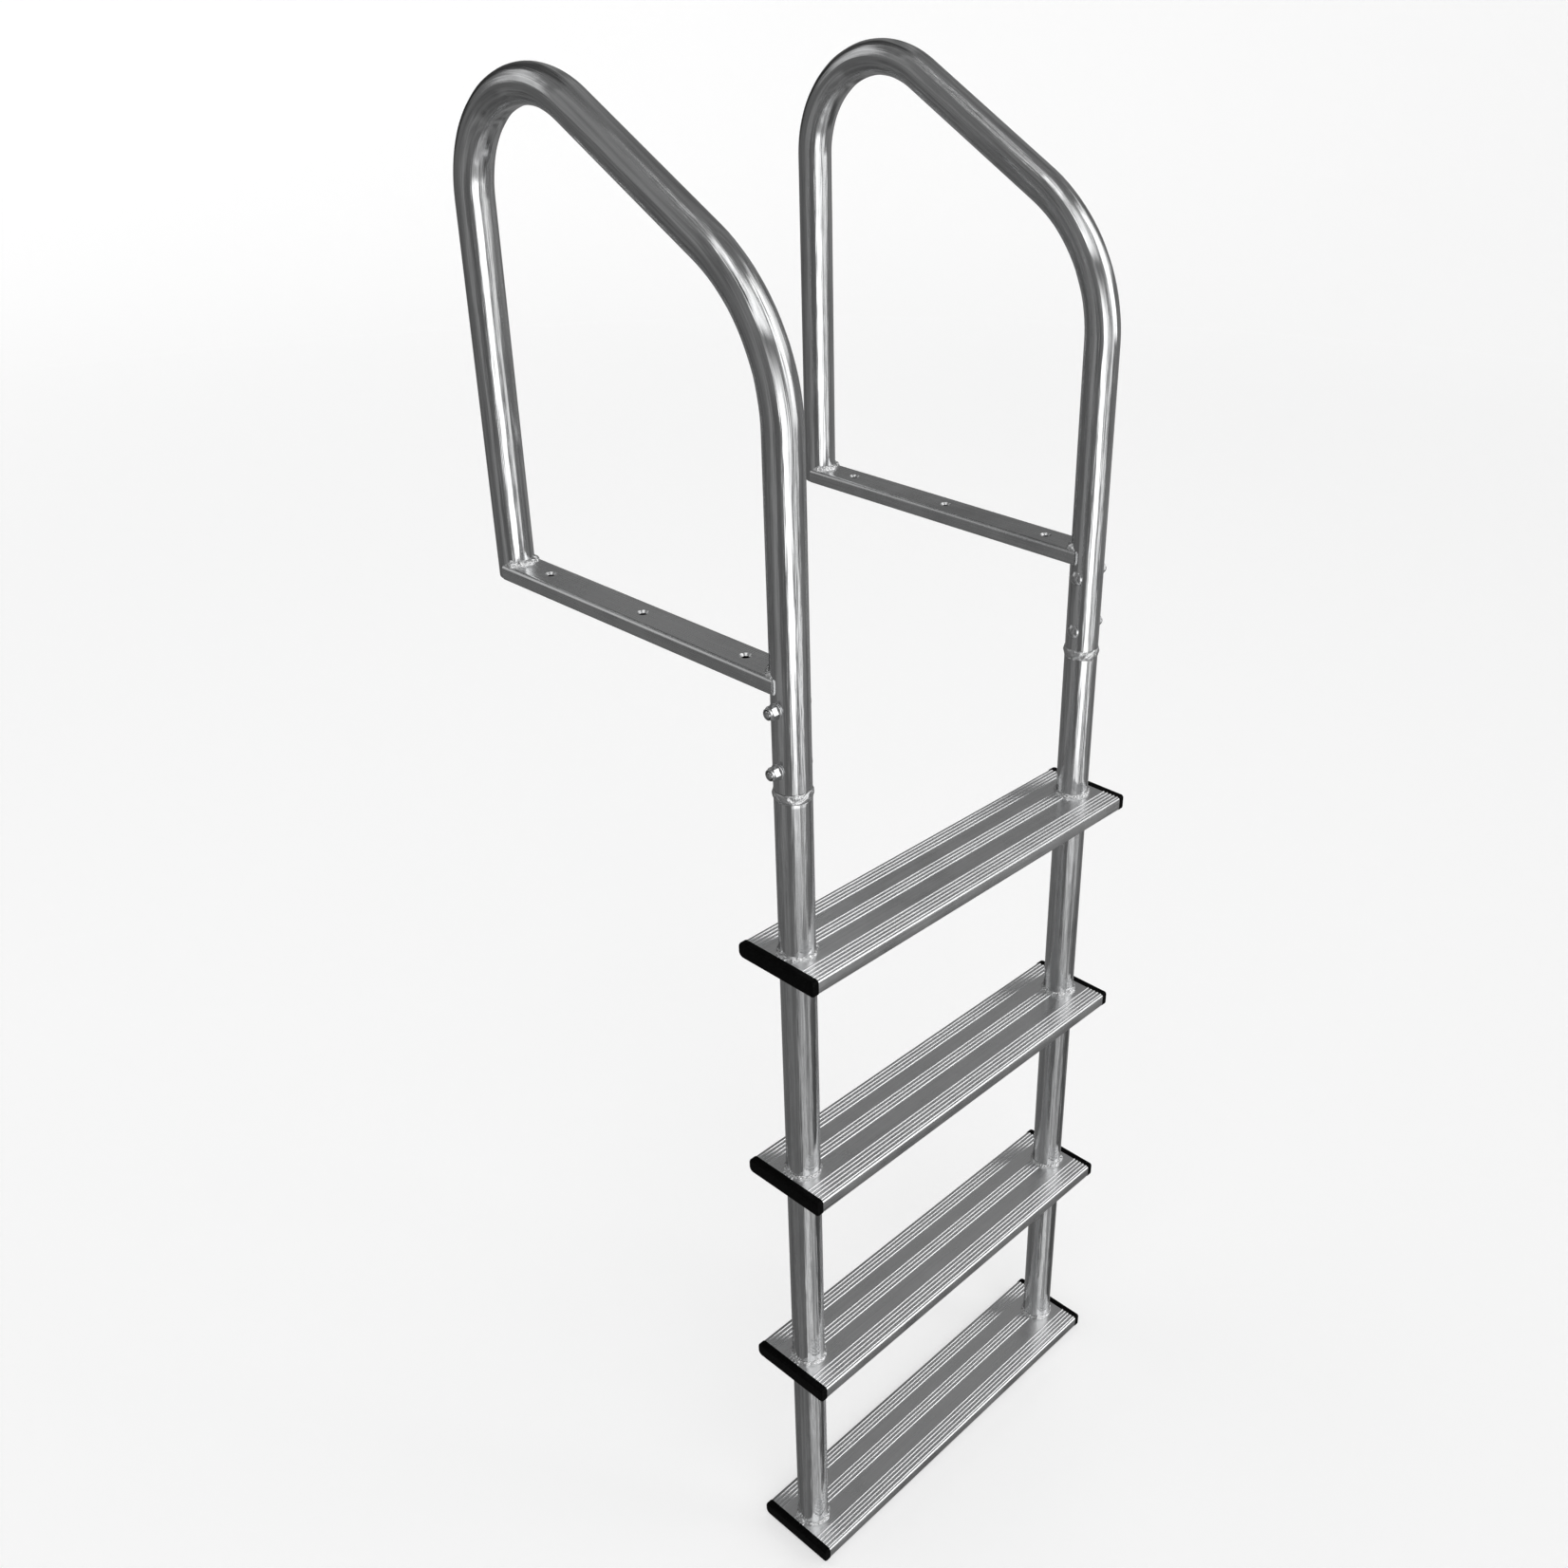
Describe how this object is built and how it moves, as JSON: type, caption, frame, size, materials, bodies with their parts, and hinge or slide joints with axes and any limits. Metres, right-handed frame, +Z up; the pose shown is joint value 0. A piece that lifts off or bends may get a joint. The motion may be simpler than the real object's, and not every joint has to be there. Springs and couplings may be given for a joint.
{
  "type": "dock boarding ladder",
  "caption": "Fixed dock boarding ladder: bent tube handrails on deck brackets, side rails bolted below, hollow ribbed treads with end caps.",
  "frame": {"origin": "on the deck plane, midway between the axes of the two side rails, where the ladder hangs over the dock's edge", "axes": "+X along the treads towards the right-hand rail of someone climbing, +Y inland over the deck, +Z up"},
  "size_m": [0.551, 0.5195, 1.7828],
  "materials": {
    "polished_tube": "polished drawn tube with fine lengthwise draw lines",
    "bracket_extrusion": "satin mill finish",
    "tread_extrusion": "satin mill finish with brushed rib crests",
    "weld_metal": "bright rippled weld metal",
    "stainless_fixings": "bright stainless steel",
    "black_plastic": "moulded black plastic",
    "nylon_insert": "dull nylon"
  },
  "bodies": {
    "root": {"handrail_left": "polished_tube", "deck_bracket_left": "bracket_extrusion", "splice_sleeve_left": "polished_tube", "splice_bead_left": "weld_metal", "side_rail_left": "polished_tube", "bracket_weld_left_front": "weld_metal", "bracket_weld_left_rear": "weld_metal", "bolt_left_upper": "stainless_fixings", "washer_left_upper": "stainless_fixings", "lock_nut_left_upper": "stainless_fixings", "nut_insert_left_upper": "nylon_insert", "bolt_left_lower": "stainless_fixings", "washer_left_lower": "stainless_fixings", "lock_nut_left_lower": "stainless_fixings", "nut_insert_left_lower": "nylon_insert", "handrail_right": "polished_tube", "deck_bracket_right": "bracket_extrusion", "splice_sleeve_right": "polished_tube", "splice_bead_right": "weld_metal", "side_rail_right": "polished_tube", "bracket_weld_right_front": "weld_metal", "bracket_weld_right_rear": "weld_metal", "bolt_right_upper": "stainless_fixings", "washer_right_upper": "stainless_fixings", "lock_nut_right_upper": "stainless_fixings", "nut_insert_right_upper": "nylon_insert", "bolt_right_lower": "stainless_fixings", "washer_right_lower": "stainless_fixings", "lock_nut_right_lower": "stainless_fixings", "nut_insert_right_lower": "nylon_insert", "tread_1": "tread_extrusion", "end_cap_1_left": "black_plastic", "tread_weld_1_left_top": "weld_metal", "tread_weld_1_left_under": "weld_metal", "end_cap_1_right": "black_plastic", "tread_weld_1_right_top": "weld_metal", "tread_weld_1_right_under": "weld_metal", "tread_2": "tread_extrusion", "end_cap_2_left": "black_plastic", "tread_weld_2_left_top": "weld_metal", "tread_weld_2_left_under": "weld_metal", "end_cap_2_right": "black_plastic", "tread_weld_2_right_top": "weld_metal", "tread_weld_2_right_under": "weld_metal", "tread_3": "tread_extrusion", "end_cap_3_left": "black_plastic", "tread_weld_3_left_top": "weld_metal", "tread_weld_3_left_under": "weld_metal", "end_cap_3_right": "black_plastic", "tread_weld_3_right_top": "weld_metal", "tread_weld_3_right_under": "weld_metal", "tread_4": "tread_extrusion", "end_cap_4_left": "black_plastic", "tread_weld_4_left_top": "weld_metal", "tread_weld_4_left_under": "weld_metal", "end_cap_4_right": "black_plastic", "tread_weld_4_right_top": "weld_metal", "tread_weld_4_right_under": "weld_metal"}
  },
  "joints": []
}
